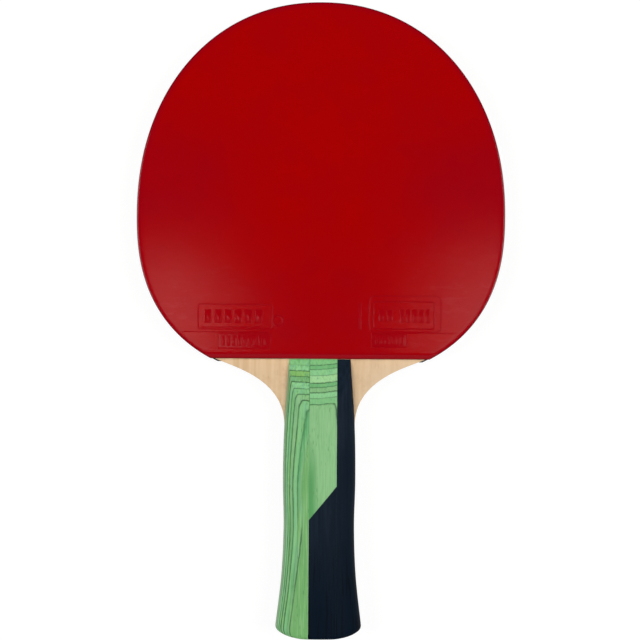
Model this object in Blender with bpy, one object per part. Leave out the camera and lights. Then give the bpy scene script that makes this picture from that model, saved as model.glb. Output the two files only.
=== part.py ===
# Table tennis bat with a flared handle, lying flat with its red face up.
# Units are metres. +Y runs from the handle to the top of the head, and +Z from the black face to the red one.
# "Down" is a distance along the handle, from the straight lower edge of the red rubber towards the butt.

import math

import bmesh
import bpy
from mathutils import Vector

# Clear space between two pieces that are glued together
GLUE_GAP = 0.0003

# Head outline, as the rubber is cut: an upper and a lower curve that meet on the widest line. The straight
# edge cuts the lower one short. A fullness of 2 is an ellipse, and a higher one is squarer.
HEAD_WIDTH = 0.150
HEAD_TOP = 0.0867
TOP_FULLNESS = 2.12
EDGE_DROP = 0.0585
FOOT_BEYOND_EDGE = 0.00885
FOOT_FULLNESS = 2.4
BACK_EDGE_EXTRA = 0.0013

# Thickness of each layer of the head
CORE_PLY = 0.0024
INNER_PLY = 0.0006
FACE_PLY = 0.0006
SPONGE = 0.0015
TOPSHEET = 0.0016

# Pips on the inner side of a topsheet, of which the rim shows the gaps
PIP_PITCH = 0.0024
PIP_HEIGHT = 0.0009
PIP_GAP = 0.0009
PIP_GAP_DEPTH = 0.0012
CUTTER_OVER = 0.0003

# The wood stands this far inside the rubber's edge, and sweeps in to the handle in one hollow curve
BLADE_INSET = 0.0007
SHOULDER_LEAVE = 0.007
SHOULDER_ARRIVE = 0.020
NECK_DOWN = 0.028

# Handle: half widths at its stations, and where the stations lie
HANDLE_LENGTH = 0.1137
TOP_END_HALF = 0.0125
NECK_HALF = 0.0144
SWELL_HALF = 0.0148
WAIST_HALF = 0.0144
FLARE_HALF = 0.0152
BUTT_HALF = 0.0175
SWELL_DOWN = 0.0492
FLARE_LENGTH = 0.0254
BUTT_DEPTH = 0.005

# A scale is laminated from veneers of equal thickness. The outermost one is sanded to shape, and stands
# this far over the last glue line at each station. Below zero it is sanded away there.
VENEER = 0.00085
VENEER_COUNT = 10
TOP_END_OVER = -0.0007
NECK_OVER = 0.0
SWELL_OVER = 0.00085
WAIST_OVER = 0.00085
FLARE_OVER = 0.00155
BUTT_OVER = 0.00215
SECTION_FULLNESS = 2.0

# The scale's top end is sanded to a slope that starts at a thin lip against the rubber
LIP_THICKNESS = 0.0001
SLOPE_ANGLE = math.radians(19.1)

# Butt: how full its outline's corners are, the share of the width that its flat end keeps, and the radius
# that the crown is rounded over with
BUTT_FULLNESS = 2.5
BUTT_FLAT = 0.4
BUTT_EDGE = 0.0015

# Lanes of the scale, measured from its centre line, and the scarf joint across the middle lane
LEFT_SEAM = 0.0041
RIGHT_SEAM = 0.0071
SCARF_HIGH_DOWN = 0.0517
SCARF_LOW_DOWN = 0.0653

# Facets
HEAD_STEPS = 13
SHOULDER_STEPS = 12
HANDLE_STEP = 0.0062
BUTT_STEPS = 6
SECTION_STEPS = 20
SAW_SNAP = 0.000002
SMOOTH_ANGLE = math.radians(35)

# Linear colour and roughness of each finish
RED_RUBBER = (0.366, 0.0, 0.001, 0.35)
BLACK_RUBBER = (0.012, 0.012, 0.014, 0.4)
SPONGE_FOAM = (0.80, 0.62, 0.24, 0.9)
DARK_FOAM = (0.020, 0.020, 0.022, 0.9)
FACE_WOOD = (0.70, 0.51, 0.32, 0.6)
INNER_WOOD = (0.56, 0.36, 0.19, 0.65)
CORE_WOOD = (0.66, 0.47, 0.27, 0.65)
GREEN_WOOD = (0.20, 0.47, 0.21, 0.45)
DARK_WOOD = (0.010, 0.0145, 0.023, 0.45)

head_foot = EDGE_DROP + FOOT_BEYOND_EDGE
blade_half = CORE_PLY / 2 + INNER_PLY + FACE_PLY + 2 * GLUE_GAP
last_glue_line = (VENEER_COUNT - 1) * VENEER
flare_down = HANDLE_LENGTH - FLARE_LENGTH
butt_down = HANDLE_LENGTH - BUTT_DEPTH
waist_down = (SWELL_DOWN + flare_down) / 2
stations = (
    (0.0, TOP_END_HALF, TOP_END_OVER),
    (NECK_DOWN, NECK_HALF, NECK_OVER),
    (SWELL_DOWN, SWELL_HALF, SWELL_OVER),
    (waist_down, WAIST_HALF, WAIST_OVER),
    (flare_down, FLARE_HALF, FLARE_OVER),
    (butt_down, BUTT_HALF, BUTT_OVER),
)


def clear_scene():
    for obj in list(bpy.data.objects):
        bpy.data.objects.remove(obj)


def material(name, finish):
    red, green, blue, roughness = finish
    made = bpy.data.materials.new(name)
    made.use_nodes = True
    shader = made.node_tree.nodes["Principled BSDF"]
    shader.inputs["Base Color"].default_value = (red, green, blue, 1)
    shader.inputs["Roughness"].default_value = roughness
    shader.inputs["Metallic"].default_value = 0
    return made


def place(name, bm, finish, parent):
    """Turns a finished bmesh into a named object under its parent."""
    bmesh.ops.recalc_face_normals(bm, faces=bm.faces)
    mesh = bpy.data.meshes.new(name)
    bm.to_mesh(mesh)
    bm.free()
    mesh.shade_smooth()
    mesh.set_sharp_from_angle(angle=SMOOTH_ANGLE)
    mesh.materials.append(finish)
    obj = bpy.data.objects.new(name, mesh)
    obj.parent = parent
    bpy.context.collection.objects.link(obj)
    return obj


def empty(name, location, parent=None, turn=0.0):
    obj = bpy.data.objects.new(name, None)
    obj.location = location
    obj.rotation_euler.y = turn
    obj.parent = parent
    bpy.context.collection.objects.link(obj)
    return obj


def through_stations(down, column):
    """Smooth curve through one column of the stations, read at a distance down the handle."""
    places = [station[0] for station in stations]
    values = [station[column] for station in stations]
    last = len(places) - 1
    slopes = []
    for i in range(last + 1):
        before, after = max(i - 1, 0), min(i + 1, last)
        slopes.append((values[after] - values[before]) / (places[after] - places[before]))
    i = max(k for k in range(last) if places[k] <= max(down, 0.0))
    span = places[i + 1] - places[i]
    t = min((down - places[i]) / span, 1.0)
    start = (1 + 2 * t) * (1 - t) ** 2 * values[i] + t * (1 - t) ** 2 * span * slopes[i]
    end = t * t * (3 - 2 * t) * values[i + 1] - t * t * (1 - t) * span * slopes[i + 1]
    return start + end


def butt_share(down):
    """How much of the width is left at this distance down, where the butt's corners round in."""
    if down <= butt_down:
        return 1.0
    flat_start = 1 - math.sqrt(1 - BUTT_FLAT**BUTT_FULLNESS)
    up = flat_start + (1 - flat_start) * (HANDLE_LENGTH - down) / BUTT_DEPTH
    return (1 - (1 - min(up, 1.0)) ** 2) ** (1 / BUTT_FULLNESS)


def handle_half(down):
    return through_stations(down, 1) * butt_share(down)


def crown_height(down):
    beyond = max(1 - (HANDLE_LENGTH - down) / BUTT_EDGE, 0.0)
    rounded = BUTT_EDGE * (1 - math.sqrt(1 - beyond * beyond))
    return last_glue_line + through_stations(down, 2) - rounded


def handle_places(start):
    """Distances down at which the handle's shape is read, closer together towards the end of the butt."""
    count = round((butt_down - start) / HANDLE_STEP)
    places = [start + (butt_down - start) * i / count for i in range(count)]
    for i in range(BUTT_STEPS + 1):
        places.append(butt_down + BUTT_DEPTH * math.sin(math.pi / 2 * i / BUTT_STEPS))
    return places


def head_side(inset, edge_drop):
    """The right side of the head's outline, from its top to its straight lower edge."""
    half = HEAD_WIDTH / 2 - inset
    top = HEAD_TOP - inset
    foot = head_foot - inset
    points = []
    for i in range(HEAD_STEPS):
        angle = math.pi / 2 * (1 - i / HEAD_STEPS)
        x = half * math.cos(angle) ** (2 / TOP_FULLNESS)
        points.append((x, top * math.sin(angle) ** (2 / TOP_FULLNESS)))
    last_angle = math.asin((edge_drop / foot) ** (FOOT_FULLNESS / 2))
    for i in range(HEAD_STEPS + 1):
        angle = last_angle * i / HEAD_STEPS
        x = half * math.cos(angle) ** (2 / FOOT_FULLNESS)
        points.append((x, -foot * math.sin(angle) ** (2 / FOOT_FULLNESS)))
    return points


def shoulder_side():
    """The hollow curve from the head to the neck, without its two ends."""
    head = head_side(BLADE_INSET, EDGE_DROP)
    start = Vector(head[-1])
    leave = (start - Vector(head[-2])).normalized()
    neck = Vector((handle_half(NECK_DOWN), -EDGE_DROP - NECK_DOWN))
    below = Vector((handle_half(NECK_DOWN + HANDLE_STEP), neck.y - HANDLE_STEP))
    arrive = (below - neck).normalized()
    first, second = start + SHOULDER_LEAVE * leave, neck - SHOULDER_ARRIVE * arrive
    points = []
    for i in range(1, SHOULDER_STEPS):
        t = i / SHOULDER_STEPS
        weights = (1 - t) ** 3, 3 * t * (1 - t) ** 2, 3 * t * t * (1 - t), t**3
        point = weights[0] * start + weights[1] * first + weights[2] * second + weights[3] * neck
        points.append(tuple(point))
    return points


def blade_side():
    """The right side of the wood: head, shoulder, and the tang that runs to the butt under the scales."""
    handle = [(handle_half(down), -EDGE_DROP - down) for down in handle_places(NECK_DOWN)]
    return head_side(BLADE_INSET, EDGE_DROP) + shoulder_side() + handle


def raised(outlines, bottom, top):
    """Flat layers of one thickness, each with its own outline."""
    bm = bmesh.new()
    faces = [bm.faces.new([bm.verts.new((x, y, bottom)) for x, y in outline]) for outline in outlines]
    made = bmesh.ops.extrude_face_region(bm, geom=faces)["geom"]
    corners = [item for item in made if isinstance(item, bmesh.types.BMVert)]
    bmesh.ops.translate(bm, verts=corners, vec=(0, 0, top - bottom))
    return bm


def mirrored(side):
    """The left side that belongs to a right one, from its lower end up to the top."""
    return [(-x, y) for x, y in reversed(side) if x > SAW_SNAP]


def sheet(side, bottom, top):
    """A flat layer whose outline is one side and its mirror image."""
    return raised([side + mirrored(side)], bottom, top)


def add_blade(parent):
    """The five plies, from the core outwards on both sides."""
    side = blade_side()
    core = sheet(side, -CORE_PLY / 2, CORE_PLY / 2)
    place("core_ply", core, material("core_wood", CORE_WOOD), parent)
    inner_bottom = CORE_PLY / 2 + GLUE_GAP
    face_bottom = inner_bottom + INNER_PLY + GLUE_GAP
    for name, thickness, bottom, finish in (
        ("inner_ply", INNER_PLY, inner_bottom, material("inner_wood", INNER_WOOD)),
        ("face_ply", FACE_PLY, face_bottom, material("face_wood", FACE_WOOD)),
    ):
        place("front_" + name, sheet(side, bottom, bottom + thickness), finish, parent)
        place("back_" + name, sheet(side, -bottom - thickness, -bottom), finish, parent)


def spaced(line, pitch):
    """Points spread evenly along a line, half a step clear of its ends, with the line's direction at each."""
    lengths = [(after - before).length for before, after in zip(line, line[1:])]
    count = round(sum(lengths) / pitch)
    found = []
    for i in range(count):
        rest = sum(lengths) * (i + 0.5) / count
        k = 0
        while rest > lengths[k]:
            rest -= lengths[k]
            k += 1
        direction = (line[k + 1] - line[k]).normalized()
        found.append((line[k] + rest * direction, direction))
    return found


def pip_gaps(side):
    """Outlines of the gaps between the pips at the rim. Each is a wedge with its mouth outside the rubber."""
    curve = [Vector(point) for point in mirrored(side) + side]
    wedges = []
    for point, along in spaced(curve, PIP_PITCH) + spaced([curve[-1], curve[0]], PIP_PITCH):
        inward = Vector((along.y, -along.x))
        mouth = point - CUTTER_OVER * inward
        half = PIP_GAP / 2 * along
        wedges.append((mouth - half, mouth + half, point + PIP_GAP_DEPTH * inward))
    return wedges


def levels(turned, near, far):
    """Bottom and top of a layer this far from the blade's middle plane. Turned by -1, it lies behind it."""
    return sorted((turned * near, turned * far))


def cut_pip_gaps(topsheet, cutter):
    """Takes the wedges out of the topsheet. The cutter itself is no piece of the bat."""
    cutter.data.shade_flat()
    cutter.hide_render = True
    cutter.display_type = "WIRE"
    cut = topsheet.modifiers.new("pip gaps", "BOOLEAN")
    cut.operation = "DIFFERENCE"
    cut.solver = "EXACT"
    cut.object = cutter


def add_rubber(face, turned, edge_drop, foam, rubber, parent):
    """A sponge and a topsheet cut to one outline. The topsheet's rim shows the gaps between its pips."""
    side = head_side(0.0, edge_drop)
    sponge_near = blade_half + GLUE_GAP
    sheet_near = sponge_near + SPONGE + GLUE_GAP
    sponge = sheet(side, *levels(turned, sponge_near, sponge_near + SPONGE))
    place(face + "_sponge", sponge, foam, parent)
    topsheet = sheet(side, *levels(turned, sheet_near, sheet_near + TOPSHEET))
    wedges = raised(pip_gaps(side), *levels(turned, sheet_near - CUTTER_OVER, sheet_near + PIP_HEIGHT))
    rim = place(face + "_topsheet", topsheet, rubber, parent)
    cut_pip_gaps(rim, place(face + "_gap_cutter", wedges, None, parent))


def scale_section(half, height):
    """The upper half of an oval, from its right foot over the crown to its left foot."""
    points = []
    for i in range(SECTION_STEPS + 1):
        angle = math.pi * i / SECTION_STEPS
        across = math.copysign(abs(math.cos(angle)) ** (2 / SECTION_FULLNESS), math.cos(angle))
        points.append((half * across, height * abs(math.sin(angle)) ** (2 / SECTION_FULLNESS)))
    return points


def saw(bm, point, away):
    """Cuts off what lies beyond a plane, and closes the cut with a flat face."""
    everything = bm.verts[:] + bm.edges[:] + bm.faces[:]
    cut = bmesh.ops.bisect_plane(
        bm, geom=everything, dist=SAW_SNAP, plane_co=point, plane_no=away, clear_outer=True
    )
    rim = [item for item in cut["geom_cut"] if isinstance(item, bmesh.types.BMEdge)]
    bmesh.ops.edgeloop_fill(bm, edges=rim)


def sawn(body, *cuts):
    piece = body.copy()
    for point, away in cuts:
        saw(piece, point, away)
    bmesh.ops.dissolve_degenerate(piece, dist=SAW_SNAP, edges=piece.edges)
    return piece


def scale_body(start):
    """The whole scale before it is divided: a loft down the handle, then the slope of its top end."""
    bm = bmesh.new()
    rings = []
    for down in handle_places(start):
        section = scale_section(handle_half(down), crown_height(down))
        rings.append([bm.verts.new((x, -down, z)) for x, z in section])
    for above, below in zip(rings, rings[1:]):
        for i in range(SECTION_STEPS):
            bm.faces.new((above[i], above[i + 1], below[i + 1], below[i]))
        bm.faces.new((above[-1], above[0], below[0], below[-1]))
    bm.faces.new(rings[0])
    bm.faces.new(rings[-1])
    bmesh.ops.recalc_face_normals(bm, faces=bm.faces)
    bmesh.ops.triangulate(bm, faces=[face for face in bm.faces if len(face.verts) == 4])
    lip_top = (0, -start, GLUE_GAP + LIP_THICKNESS)
    saw(bm, (0, 0, GLUE_GAP), (0, 0, -1))
    saw(bm, lip_top, (0, math.sin(SLOPE_ANGLE), math.cos(SLOPE_ANGLE)))
    return bm


def add_veneers(lane, name, finish, parent):
    """Slices one lane into its veneers, from the blade outwards."""
    for i in range(VENEER_COUNT):
        cuts = []
        if i > 0:
            cuts.append(((0, 0, i * VENEER + GLUE_GAP / 2), (0, 0, -1)))
        if i < VENEER_COUNT - 1:
            cuts.append(((0, 0, (i + 1) * VENEER - GLUE_GAP / 2), (0, 0, 1)))
        place(f"{name}_veneer_{i + 1}", sawn(lane, *cuts), finish, parent)


def add_scale(face, start, parent):
    """One handle scale: a green lane, a middle lane that is green above its scarf, and a dark lane."""
    green, dark = material(face + "_green_wood", GREEN_WOOD), material(face + "_dark_wood", DARK_WOOD)
    body = scale_body(start)
    half_gap = GLUE_GAP / 2
    middle_left = ((half_gap - LEFT_SEAM, 0, 0), (-1, 0, 0))
    middle_right = ((RIGHT_SEAM - half_gap, 0, 0), (1, 0, 0))
    high, low = Vector((RIGHT_SEAM, -SCARF_HIGH_DOWN, 0)), Vector((-LEFT_SEAM, -SCARF_LOW_DOWN, 0))
    along = (high - low).normalized()
    upward = Vector((-along.y, along.x, 0))
    side = sawn(body, ((-LEFT_SEAM - half_gap, 0, 0), (1, 0, 0)))
    middle = sawn(body, middle_left, middle_right, (high + half_gap * upward, -upward))
    add_veneers(side, face + "_side", green, parent)
    add_veneers(middle, face + "_middle", green, parent)
    block = sawn(body, middle_left, middle_right, (high - half_gap * upward, upward))
    strip = sawn(body, ((RIGHT_SEAM + half_gap, 0, 0), (-1, 0, 0)))
    place(face + "_dark_block", block, dark, parent)
    place(face + "_dark_strip", strip, dark, parent)
    for used in (body, side, middle):
        used.free()


def build():
    clear_scene()
    crown = max(crown_height(down) for down in handle_places(GLUE_GAP))
    length = HEAD_TOP + EDGE_DROP + HANDLE_LENGTH
    bat = empty("bat", (0, length / 2 - HEAD_TOP, blade_half + crown))
    add_blade(bat)
    yellow, black = material("sponge_foam", SPONGE_FOAM), material("dark_foam", DARK_FOAM)
    add_rubber("front", 1, EDGE_DROP, yellow, material("red_rubber", RED_RUBBER), bat)
    add_rubber("back", -1, EDGE_DROP + BACK_EDGE_EXTRA, black, material("black_rubber", BLACK_RUBBER), bat)
    front = empty("front_handle", (0, -EDGE_DROP, blade_half), bat)
    back = empty("back_handle", (0, -EDGE_DROP, -blade_half), bat, math.pi)
    add_scale("front", GLUE_GAP, front)
    add_scale("back", GLUE_GAP + BACK_EDGE_EXTRA, back)


build()
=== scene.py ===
import math

import bmesh
import bpy
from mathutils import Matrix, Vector


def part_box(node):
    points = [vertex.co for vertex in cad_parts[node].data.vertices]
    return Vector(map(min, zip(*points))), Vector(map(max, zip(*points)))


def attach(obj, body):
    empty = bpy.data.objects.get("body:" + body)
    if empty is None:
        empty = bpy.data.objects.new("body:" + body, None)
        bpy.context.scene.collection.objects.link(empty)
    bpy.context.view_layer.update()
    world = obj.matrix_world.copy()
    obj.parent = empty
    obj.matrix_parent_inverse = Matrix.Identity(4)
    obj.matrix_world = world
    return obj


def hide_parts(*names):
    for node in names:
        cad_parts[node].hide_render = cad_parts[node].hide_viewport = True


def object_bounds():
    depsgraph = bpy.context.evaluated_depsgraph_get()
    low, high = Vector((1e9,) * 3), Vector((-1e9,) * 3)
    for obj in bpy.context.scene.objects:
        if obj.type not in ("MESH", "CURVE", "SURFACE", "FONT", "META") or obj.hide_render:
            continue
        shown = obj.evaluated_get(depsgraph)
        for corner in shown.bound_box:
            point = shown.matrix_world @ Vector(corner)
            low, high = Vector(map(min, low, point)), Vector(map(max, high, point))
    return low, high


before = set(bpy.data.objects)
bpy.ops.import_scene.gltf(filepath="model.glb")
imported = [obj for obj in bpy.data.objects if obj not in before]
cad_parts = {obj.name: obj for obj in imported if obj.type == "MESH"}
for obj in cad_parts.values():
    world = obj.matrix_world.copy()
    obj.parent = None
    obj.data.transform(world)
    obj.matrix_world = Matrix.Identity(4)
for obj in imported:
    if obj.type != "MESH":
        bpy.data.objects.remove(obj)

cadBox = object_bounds()
mm = 0.001
print("frame loaded:", len(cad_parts), "solids")


class Wire:
    # a socket that can stand in a Python sum: every operator adds one Math node

    def __init__(self, board, socket):
        self.board = board
        self.socket = socket

    def maths(self, operation, *values):
        return self.board.add("ShaderNodeMath", {"operation": operation}, values)

    def __add__(self, other):
        return self.maths("ADD", self, other)

    __radd__ = __add__

    def __sub__(self, other):
        return self.maths("SUBTRACT", self, other)

    def __rsub__(self, other):
        return self.maths("SUBTRACT", other, self)

    def __mul__(self, other):
        return self.maths("MULTIPLY", self, other)

    __rmul__ = __mul__

    def __truediv__(self, other):
        return self.maths("DIVIDE", self, other)

    def __rtruediv__(self, other):
        return self.maths("DIVIDE", other, self)

    def __pow__(self, other):
        return self.maths("POWER", self, other)

    def __neg__(self):
        return self * -1

    def __abs__(self):
        return self.maths("ABSOLUTE", self)

    def __gt__(self, other):
        return self.maths("GREATER_THAN", self, other)

    def __lt__(self, other):
        return self.maths("LESS_THAN", self, other)

    def atMost(self, other):
        return self.maths("MINIMUM", self, other)

    def atLeast(self, other):
        return self.maths("MAXIMUM", self, other)

    def whole(self):
        return self.maths("FLOOR", self)

    def part(self):
        return self.maths("FRACT", self)

    def root(self):
        return self.maths("SQRT", self)

    def sign(self):
        return self.maths("SIGN", self)

    def cosine(self):
        return self.maths("COSINE", self)

    def fade(self, low, high):  # 0 at low, 1 at high, eased between them
        limits = {"Value": self, "From Min": low, "From Max": high}
        return self.board.add("ShaderNodeMapRange", {"interpolation_type": "SMOOTHSTEP"}, limits)

    def sibling(self, output):  # another output of the same node
        return Wire(self.board, self.socket.node.outputs[output])


class Board:
    # one node tree, shader or geometry, that nodes are added to

    def __init__(self, tree):
        self.tree = tree

    def add(self, kind, settings=None, values=(), output=0):
        node = self.tree.nodes.new(kind)
        for name, setting in (settings or {}).items():
            if name in ("stops", "steps"):
                self.setStops(node.color_ramp, setting, name == "steps")
            elif name == "points":
                self.setPoints(node.mapping, setting)
            else:
                setattr(node, name, setting)
        pairs = values.items() if isinstance(values, dict) else enumerate(values)
        for key, value in pairs:
            if isinstance(value, Wire):
                self.link(value, node.inputs[key])
            elif node.inputs[key].type == "RGBA" and len(value) == 3:
                node.inputs[key].default_value = (*value, 1)
            else:
                node.inputs[key].default_value = value
        return Wire(self, node.outputs[output]) if node.outputs else None

    def link(self, wire, socket):
        self.tree.links.new(wire.socket, socket)

    def setStops(self, ramp, stops, sudden):
        while len(ramp.elements) < len(stops):
            ramp.elements.new(1)
        for element, (place, colour) in zip(ramp.elements, stops):
            element.position = place
            element.color = (*colour, 1)
        if sudden:  # each colour holds up to the next stop
            ramp.interpolation = "CONSTANT"

    def setPoints(self, mapping, points):
        curve = mapping.curves[0]
        while len(curve.points) < len(points):
            curve.points.new(0.5, 0.5)
        for point, place in zip(curve.points, points):
            point.location = place
        mapping.update()

    def vectors(self, operation, first, second, output=0):
        settings = {"operation": operation}
        return self.add("ShaderNodeVectorMath", settings, [first, second], output)

    def stretch(self, vector, scale, shift=(0, 0, 0)):
        return self.vectors("ADD", self.vectors("MULTIPLY", vector, scale), shift)

    def point(self, x, y, z):
        return self.add("ShaderNodeCombineXYZ", {}, [x, y, z])

    def noise(self, vector, scale, detail=2.0, roughness=0.5):
        values = {"Vector": vector, "Scale": scale, "Detail": detail, "Roughness": roughness}
        return self.add("ShaderNodeTexNoise", {}, values)

    def grain(self, vector, across, along, detail=2.0, roughness=0.5, shift=(0, 0, 0)):
        # noise that changes faster across the bat than along it, or the other way round
        drawn = self.stretch(vector, (across, along, across), shift)
        return self.noise(drawn, 1.0, detail, roughness)

    def cells(self, vector, scale=1.0):
        return self.add("ShaderNodeTexVoronoi", {}, {"Vector": vector, "Scale": scale}, "Distance")

    def blend(self, factor, first, second):
        values = {0: factor, 6: first, 7: second}  # the sockets of a colour mix
        return self.add("ShaderNodeMix", {"data_type": "RGBA", "blend_type": "MIX"}, values, 2)

    def coat(self, tone, *coats):  # colours over one another, each with how much it covers
        for amount, colour in coats:
            tone = self.blend(amount, tone, colour)
        return tone

    def split(self, vector):
        x = self.add("ShaderNodeSeparateXYZ", {}, [vector])
        return x, x.sibling(1), x.sibling(2)


def startTree(name, sockets):
    # a Geometry Nodes tree and its named inputs
    tree = bpy.data.node_groups.new(name, "GeometryNodeTree")
    tree.interface.new_socket("Geometry", in_out="OUTPUT", socket_type="NodeSocketGeometry")
    for label, kind in {"Geometry": "Geometry", **sockets, "Finish": "Material"}.items():
        tree.interface.new_socket(label, in_out="INPUT", socket_type="NodeSocket" + kind)
    board = Board(tree)
    entry = board.add("NodeGroupInput").socket.node
    return board, {socket.name: Wire(board, socket) for socket in entry.outputs if socket.name}


def endTree(board, shape, finish):
    shape = board.add("GeometryNodeRealizeInstances", {}, {"Geometry": shape})
    shape = board.add("GeometryNodeSetMaterial", {}, {"Geometry": shape, "Material": finish})
    board.add("NodeGroupOutput", {}, [shape])
    return board.tree


def shade(red, green, blue):  # screen colour to the linear one that nodes take
    values = (c / 255 for c in (red, green, blue))
    return tuple(v / 12.92 if v < 0.0405 else ((v + 0.055) / 1.055) ** 2.4 for v in values)


# Shape of the bat in metres. Down is the distance below the red rubber's straight edge.

head = {
    "width": 0.150,
    "top": 0.0867,
    "topFullness": 2.12,  # power of the arc, where 2 is an ellipse
    "foot": 0.06735,
    "footFullness": 2.4,
    "edgeDrop": 0.0585,  # from the widest line to the red rubber's straight edge
    "backExtra": 0.0013,
    "woodInset": 0.0007,
    "steps": 56,
}

handle = {
    "length": 0.1137,
    "neckDown": 0.028,
    "shoulderLeave": 0.007,  # how far the shoulder's curve follows the head, and then the handle
    "shoulderArrive": 0.020,
    "shoulderSteps": 48,
    "sideSteps": 60,
    "buttSteps": 20,
    "lipStart": 0.00015,
    "lipThickness": 0.00002,
    "slope": 0.3704,
    "crease": 0.0005,  # how softly the sanded slope runs out into the crown
    "buttDepth": 0.005,
    "buttFullness": 2.5,
    "buttFlat": 0.4,
    "buttEdge": 0.0015,
    "veneer": 0.00085,
    "stations": (  # down, half width, crown height over the blade
        (0.0, 0.0125, 0.00695),
        (0.028, 0.0144, 0.00765),
        (0.0492, 0.0148, 0.0085),
        (0.06875, 0.0144, 0.0085),
        (0.0883, 0.0152, 0.0092),
        (0.1087, 0.0175, 0.0098),
    ),
    "leftSeam": 0.0041,
    "rightSeam": 0.0071,
    "scarfHigh": 0.0517,  # down, at the right seam and at the left one
    "scarfLow": 0.0653,
}

# The CAD box gives the blade's middle plane and the head's widest line
middle = (cadBox[0].z + cadBox[1].z) / 2
widest = cadBox[1].y - head["top"]
edgeLine = widest - head["edgeDrop"]
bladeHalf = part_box("front_face_ply")[1].z - middle
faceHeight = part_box("front_topsheet")[1].z - middle


def throughStations(down, column):
    places = [row[0] for row in handle["stations"]]
    values = [row[column] for row in handle["stations"]]
    last = len(places) - 1
    slopes = []
    for i in range(last + 1):
        before, after = max(i - 1, 0), min(i + 1, last)
        slopes.append((values[after] - values[before]) / (places[after] - places[before]))
    i = max(k for k in range(last) if places[k] <= max(down, 0.0))
    span = places[i + 1] - places[i]
    t = min((down - places[i]) / span, 1.0)
    start = (1 + 2 * t) * (1 - t) ** 2 * values[i] + t * (1 - t) ** 2 * span * slopes[i]
    return start + t * t * (3 - 2 * t) * values[i + 1] - t * t * (1 - t) * span * slopes[i + 1]


buttFlatStart = 1 - math.sqrt(1 - handle["buttFlat"] ** handle["buttFullness"])


def buttShare(down):
    if down <= handle["length"] - handle["buttDepth"]:
        return 1.0
    up = buttFlatStart + (1 - buttFlatStart) * (handle["length"] - down) / handle["buttDepth"]
    return (1 - (1 - min(up, 1.0)) ** 2) ** (1 / handle["buttFullness"])


def handleHalf(down):
    return throughStations(down, 1) * buttShare(down)


def headSide(inset, edgeDrop):
    # right side of the head from its top to the straight edge, drawn in from the rim by inset
    half, top, foot = head["width"] / 2 - inset, head["top"] - inset, head["foot"] - inset
    steps = head["steps"]
    points = []
    for i in range(steps):
        angle = math.pi / 2 * (1 - i / steps)
        x = half * math.cos(angle) ** (2 / head["topFullness"])
        points.append((x, top * math.sin(angle) ** (2 / head["topFullness"])))
    points[0] = (0.0, top)
    lastAngle = math.asin((edgeDrop / foot) ** (head["footFullness"] / 2))
    for i in range(steps + 1):
        angle = lastAngle * i / steps
        x = half * math.cos(angle) ** (2 / head["footFullness"])
        points.append((x, -foot * math.sin(angle) ** (2 / head["footFullness"])))
    return points


def shoulderSide(inset):
    before, start = [Vector(point) for point in headSide(inset, head["edgeDrop"])[-2:]]
    leave = (start - before).normalized()
    down, step = handle["neckDown"], 0.0062
    neck = Vector((handleHalf(down), -head["edgeDrop"] - down))
    below = Vector((handleHalf(down + step), neck.y - step))
    arrive = (below - neck).normalized()
    first = start + handle["shoulderLeave"] * leave
    second = neck - handle["shoulderArrive"] * arrive
    points = []
    for i in range(1, handle["shoulderSteps"]):
        t = i / handle["shoulderSteps"]
        point = (1 - t) ** 3 * start + 3 * t * (1 - t) ** 2 * first
        point += 3 * t * t * (1 - t) * second + t**3 * neck
        points.append(tuple(point))
    return points


def bladeSide():
    # right side of the blade: head, shoulder, then the tang down to the butt
    length, neckDown = handle["length"], handle["neckDown"]
    buttDown = length - handle["buttDepth"]
    straight, rounded = handle["sideSteps"], handle["buttSteps"]
    downs = [neckDown + (buttDown - neckDown) * i / straight for i in range(straight)]
    for i in range(rounded + 1):
        downs.append(buttDown + (length - buttDown) * math.sin(math.pi / 2 * i / rounded))
    tang = [(handleHalf(down), -head["edgeDrop"] - down) for down in downs]
    inset = head["woodInset"]
    return headSide(inset, head["edgeDrop"]) + shoulderSide(inset) + tang


def wholeOutline(side):
    points = side + [(-x, y) for x, y in reversed(side) if x > 1e-6]
    return [(x, y + widest) for x, y in points]


def stackRings(bm, rings, hollow=False):
    # a closed plate from rings of equal count, each (outline, height); a hollow one ends where it began
    made = [[bm.verts.new((x, y, z)) for x, y in outline] for outline, z in rings]
    count = len(made[0])
    for lower, upper in zip(made, made[1:] + ([made[0]] if hollow else [])):
        for i in range(count):
            bm.faces.new((lower[i], lower[(i + 1) % count], upper[(i + 1) % count], upper[i]))
    if not hollow:
        bm.faces.new(made[-1])
        bm.faces.new(made[0])


def layered(rings):
    bm = bmesh.new()
    stackRings(bm, rings)
    bmesh.ops.recalc_face_normals(bm, faces=bm.faces)
    return bm


def meshOf(bm, name, angle=35):
    mesh = bpy.data.meshes.new(name)
    bm.to_mesh(mesh)
    bm.free()
    mesh.shade_smooth()
    mesh.set_sharp_from_angle(angle=math.radians(angle))
    return mesh


def newObject(name, data):
    made = bpy.data.objects.new(name, data)
    bpy.context.collection.objects.link(made)
    return made


def makePiece(name, mesh, finish, slot, *nodes):
    mesh.name = name
    mesh.materials.clear()
    mesh.materials.append(finish)
    piece = newObject(name, mesh)
    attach(piece, "root")
    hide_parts(*nodes)


def newMaterial(name, gloss):
    material = bpy.data.materials.new(name)
    material.use_nodes = True
    shader = material.node_tree.nodes["Principled BSDF"]
    shader.inputs["Specular IOR Level"].default_value = gloss
    return material, shader, Board(material.node_tree)


def startFinish(name, gloss):
    # a material that knows the object's own place in millimetres
    material, shader, board = newMaterial(name, gloss)
    place = board.add("ShaderNodeTexCoord", {}, [], "Object")
    return material, shader, board, board.stretch(place, (1 / mm, 1 / mm, 1 / mm))


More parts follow.
